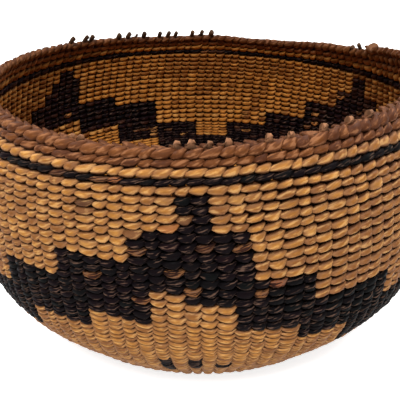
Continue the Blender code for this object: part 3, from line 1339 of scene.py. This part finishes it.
DARK_FINISH = WeftFinish(
    "dark_weft",
    "dark_weft",
    deep=(0.0026, 0.0032, 0.0032, 1.0),
    middle=(0.0058, 0.0022, 0.0034, 1.0),
    pale=(0.017, 0.005, 0.0065, 1.0),
    odd=(0.050, 0.018, 0.012, 1.0),
    flank=(0.0030, 0.0024, 0.0032, 1.0),
    # Partly fibre streaks, partly painted glints.
    streak_and_glint=(0.125, 0.070, 0.048, 1.0),
    shadow=(0.20, 0.20, 0.22, 1.0),
    rough=(0.50, 0.75),
    fibres=10.0,
    streak_share=0.8,
    stray_fibres=(0.47, 0.54),
    streak_fibres=(0.57, 0.66),
    gloss=0.03,
)
STALK_FINISH = StalkFinish(
    "warp_stalk",
    deep=(0.030, 0.014, 0.008, 1.0),
    pale=(0.105, 0.050, 0.024, 1.0),
    cut=(0.32, 0.145, 0.070, 1.0),
)


# Sub-assemblies


def dress(piece: Piece, node: str) -> None:
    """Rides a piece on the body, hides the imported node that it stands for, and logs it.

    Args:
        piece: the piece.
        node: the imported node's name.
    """
    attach(piece, BODY)
    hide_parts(node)
    LOG.info("%s: %d faces, for %s", piece.name, len(piece.data.polygons), node)


@dataclass
class WeftFields:
    """All the wefts of one face of the wall, one piece or a few for each field."""

    form: BowlForm
    weave: Weave
    side: Side
    most_stitches: int = 1300
    tone_spread: float = 0.24
    sink: float = 0.00078
    sink_length: float = 0.006
    seed_step: int = 7

    FINISHES = {
        Weft.RIM: RIM_FINISH,
        Weft.BROWN: BROWN_FINISH,
        Weft.STRIPE: DARK_FINISH,
        Weft.BAND: DARK_FINISH,
        Weft.CHECK: DARK_FINISH,
    }
    # The inner face's copies of tan and brown: partly less faded fibre, partly painted light.
    INNER_UNFADED_AND_LIT = {"tan_weft": TAN_INNER_FINISH, "brown_weft": BROWN_INNER_FINISH}

    def finish_of(self, weft: Weft) -> WeftFinish:
        """The finish of a field on this face. The fields that the table leaves out are tan."""
        finish = self.FINISHES.get(weft, TAN_FINISH)
        return finish if self.side is Side.OUTER else self.INNER_UNFADED_AND_LIT.get(finish.name, finish)

    def points(self, name: str, stitches: Array) -> Piece:
        """The points of one piece, each with the turn and the sizes of its stitch.

        Args:
            name: the name of the object that holds them.
            stitches: one row for each stitch.

        Returns:
            The object.
        """
        take = dict(zip(Stitch._fields, stitches.T))
        turn, run, lift = take["turn"], take["run"], take["lift"] * self.form.strand
        if self.side is Side.OUTER:
            low = np.clip(1 + (run - self.form.wall_run) / self.sink_length, 0, 1)
            deep = self.form.outer_depth - lift + self.sink * low
        else:
            deep = self.form.inner_depth(run) + lift
        places = self.form.surface(turn, run, deep)
        axes = self.form.axes(turn, run, deep, self.side, take["tilt"])
        turned = [Matrix(rows).transposed().to_euler() for rows in axes.tolist()]
        values = {key: take[key] for key in ("length", "rise", "bulk", "tone", "kind")}
        return source_object(name, places, [], {"turned": np.array(turned), **values})

    def build(self, tree: StitchTree, shapes: bpy.types.Collection, materials: dict) -> None:
        """Builds and dresses every field of this face.

        Args:
            tree: the tree that sets the stitches.
            shapes: the variants of each kind of stitch.
            materials: the materials, by finish name.
        """
        for (weft, patch), stitches in self.weave.lay(self.side).items():
            finish = self.finish_of(weft)
            parts = math.ceil(len(stitches) / self.most_stitches)
            order = np.arange(len(stitches)) * parts // len(stitches)
            node = f"{weft.value}_{patch or self.side.value}"
            for part in range(parts):
                name = f"{node}_stitches" + (f"_{part + 1}" if parts > 1 else "")
                values = {
                    "Stitches": shapes,
                    "Course Height": self.weave.course,
                    "Strand Thickness": self.form.strand,
                    "Tone Spread": self.tone_spread,
                    "Seed": part + patch + self.seed_step * list(Weft).index(weft),
                    "Finish": materials[finish.name],
                }
                source = self.points(name + "_points", np.array(stitches)[order == part])
                dress(tree.grow(source, values, name), node)


class StalkEnd(NamedTuple):
    """The end of a warp above the rim: its size, its place beside the warp and how pale its cut is."""

    warp: int
    height: float
    half_width: float
    beside: float
    cut: float


class Line(NamedTuple):
    """A stalk's middle line: its places, half its thickness at each, and how much a cut end shows."""

    places: Array
    thick: Array
    cut: Array


@dataclass
class Stalks:
    """The warps: rods from the base up the wall, with trimmed ends above the rim.

    Warps are counted to the right from the first bundle's edge, and each row of the ends has the
    values of a StalkEnd.
    """

    form: BowlForm
    bundles: int = 12
    in_bundle: int = 10
    first_edge: float = math.radians(-6)
    thickness: float = 0.00112
    steps: int = 40
    foot_share: float = 0.5
    sunk_end: float = 0.0004
    added_at: tuple = (0.046, 0.028, 0.016, 0.0102)
    ends: tuple = (
        (0, 0.0005, 0.00115, -0.2, 1.0), (1, 0.0006, 0.00120, -0.25, 1.0),
        (2, 0.0003, 0.00105, -0.1, 0.8), (3, 0.0006, 0.00120, 0.1, 1.0),
        (6, 0.0006, 0.00125, -0.2, 1.0), (7, 0.0003, 0.00110, 0.3, 0.9),
        (10, 0.0005, 0.00120, -0.2, 1.0), (12, 0.0005, 0.00115, 0.0, 0.9),
        (14, 0.0004, 0.00115, 0.0, 0.7), (37, 0.0024, 0.00175, 0.5, 0.8),
        (40, 0.0028, 0.00060, -0.2, 0.1), (41, 0.0010, 0.00073, 0.0, 0.2),
        (60, 0.0021, 0.00098, 0.35, 0.1), (62, 0.0025, 0.00073, -0.45, 0.0),
        (63, 0.0026, 0.00076, -0.3, 0.0), (65, 0.0026, 0.00078, -0.1, 0.0),
        (66, 0.0027, 0.00073, -0.1, 0.0), (67, 0.0026, 0.00076, -0.05, 0.0),
        (69, 0.0026, 0.00081, 0.0, 0.0), (70, 0.0018, 0.00044, 0.0, 0.0),
        (71, 0.0026, 0.00076, 0.1, 0.0), (72, 0.0021, 0.00088, 0.3, 0.0),
        (76, 0.0025, 0.00073, 0.0, 0.0), (77, 0.0026, 0.00073, -0.1, 0.0),
        (79, 0.0027, 0.00076, -0.1, 0.0), (112, 0.0004, 0.0008, 0.4, 1.0),
        (113, 0.0004, 0.0009, 0.1, 1.0),
    )
    end_lean: float = 0.30
    uneven_lean: tuple = (0.5, 1.5)
    uneven_end: tuple = (0.96, 1.1)
    end_shares: tuple = (0.15, 0.55, 0.85, 1.0)
    end_swell: tuple = (0.95, 1.1, 1.1, 0.9)
    cut_share: float = 0.22
    cross_reach: float = 0.75
    cross_stalks: int = 6
    cross_inset: float = 0.98
    seed: int = 3

    def turn_of(self, warp: float) -> float:
        """The turn round the bowl of a place among the warps."""
        return self.first_edge + FULL_TURN * warp / (self.bundles * self.in_bundle)

    def foot_of(self, warp: int) -> float:
        """The radius at which a warp starts. Every other one was added later, further out.

        Args:
            warp: the warp.

        Returns:
            The radius.
        """
        for radius, every in zip(self.added_at, (2, 4, 8)):
            if warp % every:
                return radius
        return self.added_at[-1]

    def line(self, warp: int, rng: Chance) -> Line:
        """The middle line of one warp, from the base to the top.

        Args:
            warp: the warp.
            rng: the source of chance.

        Returns:
            The line.
        """
        foot = self.foot_of(warp)
        low = self.form.wall_run + self.form.foot_radius - foot
        if foot >= self.form.foot_radius:
            below = self.form.runs > self.form.saddle_length
            low = float(np.interp(-foot, -self.form.outline[below, 0], self.form.runs[below]))
        runs = np.linspace(low, self.sunk_end, self.steps)
        places = self.form.surface(self.turn_of(warp + 0.5), runs, self.form.warp_depth(runs))
        thick = self.thickness * self.form.thickness_share(runs)
        thick[0] *= self.foot_share
        parts = [Line(places, thick, np.zeros(len(runs)))]
        parts += [self.end_line(StalkEnd(*row), rng) for row in self.ends if row[0] == warp]
        return Line(*(np.concatenate(values) for values in zip(*parts)))

    def end_line(self, end: StalkEnd, rng: Chance) -> Line:
        """The part of a warp that stands above the rim, cut off at an angle.

        Args:
            end: its sizes.
            rng: the source of chance.

        Returns:
            The line of that part.
        """
        turn = self.turn_of(end.warp + 0.5 + end.beside)
        deep = self.form.warp_depth(0.0)
        right = self.form.axes(turn, 0.0, deep, Side.INNER)[0]
        lean = self.end_lean * rng.uniform(*self.uneven_lean)
        shares = np.array(self.end_shares)
        places = self.form.surface(turn, -end.height * shares, deep)
        places = places + right * (lean * end.height * shares)[:, None]
        places[-1] += right * self.cut_share * end.half_width
        thick = end.half_width * np.array(self.end_swell) * rng.uniform(*self.uneven_end)
        return Line(places, thick, np.full(len(shares), end.cut))

    def cross_lines(self) -> list[Line]:
        """The crossed stalks in the middle of the base, in two layers.

        Returns:
            Their lines.
        """
        half, thin, middle = self.form.start_radius, self.form.warp / 4, self.form.full_warp_depth
        lines = []
        for order, depth in (([0, 1, 2], middle - thin), ([1, 0, 2], middle + thin)):
            for beside in np.linspace(-self.cross_reach, self.cross_reach, self.cross_stalks) * half:
                reach = math.sqrt(half**2 - beside**2) * self.cross_inset
                places = np.array([[at, beside, depth] for at in (-reach, 0, reach)])
                lines.append(Line(places[:, order], np.full(3, thin), np.zeros(3)))
        return lines

    def grow(self, name: str, lines: list[Line], tree: StalkTree, materials: dict) -> Piece:
        """Makes one piece from lines.

        Args:
            name: the name of the piece.
            lines: the middle lines of its stalks.
            tree: the tree that makes the stalks.
            materials: the materials, by finish name.

        Returns:
            The piece.
        """
        edges, first = [], 0
        for line in lines:
            edges += [(first + k, first + k + 1) for k in range(len(line.places) - 1)]
            first += len(line.places)
        places, thick, cut = (np.concatenate(values) for values in zip(*lines))
        source = source_object(name + "_lines", places, edges, {"thick": thick, "cut": cut})
        return tree.grow(source, {"Finish": materials[STALK_FINISH.name]}, name)

    def build(self, tree: StalkTree, materials: dict) -> None:
        """Builds and dresses the bundles and the crossed middle.

        Args:
            tree: the tree that makes the stalks.
            materials: the materials, by finish name.
        """
        rng = np.random.default_rng(self.seed)
        for bundle in range(self.bundles):
            warps = range(bundle * self.in_bundle, (bundle + 1) * self.in_bundle)
            lines = [self.line(warp, rng) for warp in warps]
            piece = self.grow(f"stalks_{bundle + 1:02d}", lines, tree, materials)
            dress(piece, f"warp_bundle_{bundle + 1:02d}")
        dress(self.grow("stalks_crossed", self.cross_lines(), tree, materials), "warp_cross")


# Studio


@dataclass
class Studio:
    """The floor, the light and the camera. Each lamp has its name, its place, its side and its watts."""

    white: Colour = (1.0, 1.0, 1.0, 1.0)
    floor_half: float = 3.0
    floor_colour: Colour = (0.86, 0.86, 0.86, 1.0)
    floor_rough: float = 0.9
    floor_glow: float = 0.8
    world_light: float = 0.18
    lamps: tuple = (
        ("lamp_key", (-0.06, -0.72, 1.08), 0.35, 16.6),
        ("lamp_left", (-0.58, 0.42, 0.92), 0.5, 9.5),
        ("lamp_right", (0.58, 0.42, 0.92), 0.5, 9.5),
    )
    lamp_target: tuple = (0.0, 0.0, 0.04)
    camera_place: tuple = (0.0, -0.1638, 0.1164)
    camera_target: tuple = (-0.0010, 0.0, 0.0326)
    camera_roll: float = -0.013
    lens: float = 47.484
    sensor: float = 36.0
    nearest_seen: float = 0.01

    def seen(self, make: NodeMaker) -> Socket:
        """1 for the rays that see a white background: from the camera, off a glossy face or through glass.

        Args:
            make: the maker of the nodes.

        Returns:
            The socket.
        """
        rays = make.node("ShaderNodeLightPath").outputs
        seen = make.maths("MAXIMUM", rays["Is Camera Ray"], rays["Is Glossy Ray"])
        return make.maths("MAXIMUM", seen, rays["Is Transmission Ray"])

    def build_floor(self) -> None:
        """A plain pale floor that keeps the basket's shadow."""
        mesh = bpy.data.meshes.new("floor")
        h = self.floor_half
        mesh.from_pydata([(-h, -h, 0), (h, -h, 0), (h, h, 0), (-h, h, 0)], [], [(0, 1, 2, 3)])
        make = Shading("pale_floor")
        inputs = {
            "Base Color": self.floor_colour,
            "Roughness": self.floor_rough,
            "Emission Color": self.white,
            "Emission Strength": make.maths("MULTIPLY", self.seen(make), self.floor_glow),
        }
        for name, value in inputs.items():
            make.set(make.shader.inputs[name], value)
        mesh.materials.append(make.material)
        linked("floor", mesh)

    def build_world(self) -> None:
        """A white background, with a softer even light for the basket."""
        world = bpy.data.worlds.new("studio")
        world.use_nodes = True
        bpy.context.scene.world = world
        make = NodeMaker(world.node_tree)
        back = make.tree.nodes["Background"].inputs
        level = {0: self.seen(make), "To Min": self.world_light, "To Max": 1.0}
        make.set(back["Color"], self.white)
        make.set(back["Strength"], make.node("ShaderNodeMapRange", level).outputs[0])

    def build_lamp(self, name: str, place: tuple, size: float, power: float) -> None:
        """A square lamp that faces the basket.

        Args:
            name: its name.
            place: where it hangs.
            size: the length of its side.
            power: its power in watts.
        """
        light = bpy.data.lights.new(name, "AREA")
        light.size = size
        light.energy = power
        lamp = linked(name, light)
        lamp.location = place
        lamp.rotation_euler = (Vector(self.lamp_target) - Vector(place)).to_track_quat("-Z", "Y").to_euler()

    def build_camera(self) -> None:
        """The camera at the photograph's viewing angle."""
        data = bpy.data.cameras.new("camera")
        data.lens = self.lens
        data.sensor_width = self.sensor
        data.clip_start = self.nearest_seen
        camera = linked("camera", data)
        camera.location = self.camera_place
        aim = Vector(self.camera_target) - Vector(self.camera_place)
        turned = aim.to_track_quat("-Z", "Y").to_matrix() @ Matrix.Rotation(self.camera_roll, 3, "Z")
        camera.rotation_euler = turned.to_euler()
        bpy.context.scene.camera = camera

    def build(self) -> None:
        """Builds the floor, the background, the lamps and the camera."""
        self.build_floor()
        self.build_world()
        for lamp in self.lamps:
            self.build_lamp(*lamp)
        self.build_camera()
        bpy.context.scene.view_settings.view_transform = "Standard"


def main() -> None:
    """Builds the basket and its studio, in order."""
    logging.basicConfig(level=logging.INFO, format="%(message)s")
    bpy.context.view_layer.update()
    form = BowlForm()
    weave = Weave(form, Pattern())
    wefts = (TAN_FINISH, TAN_INNER_FINISH, BROWN_FINISH, BROWN_INNER_FINISH, RIM_FINISH, DARK_FINISH)
    materials = {finish.name: finish.material() for finish in (*wefts, STALK_FINISH)}
    tree = StitchTree(OUTER_WALL.variants)
    for side, shapes in STITCHES.items():
        collection = bpy.data.collections.new(f"stitches_{side.value}")
        for kind, shape in shapes.items():
            shape.add_to(collection, f"{side.value}_{kind.value}_{kind.name.lower()}")
        WeftFields(form, weave, side).build(tree, collection, materials)
    Stalks(form).build(StalkTree(), materials)
    Studio().build()


if __name__ == "__main__":
    main()
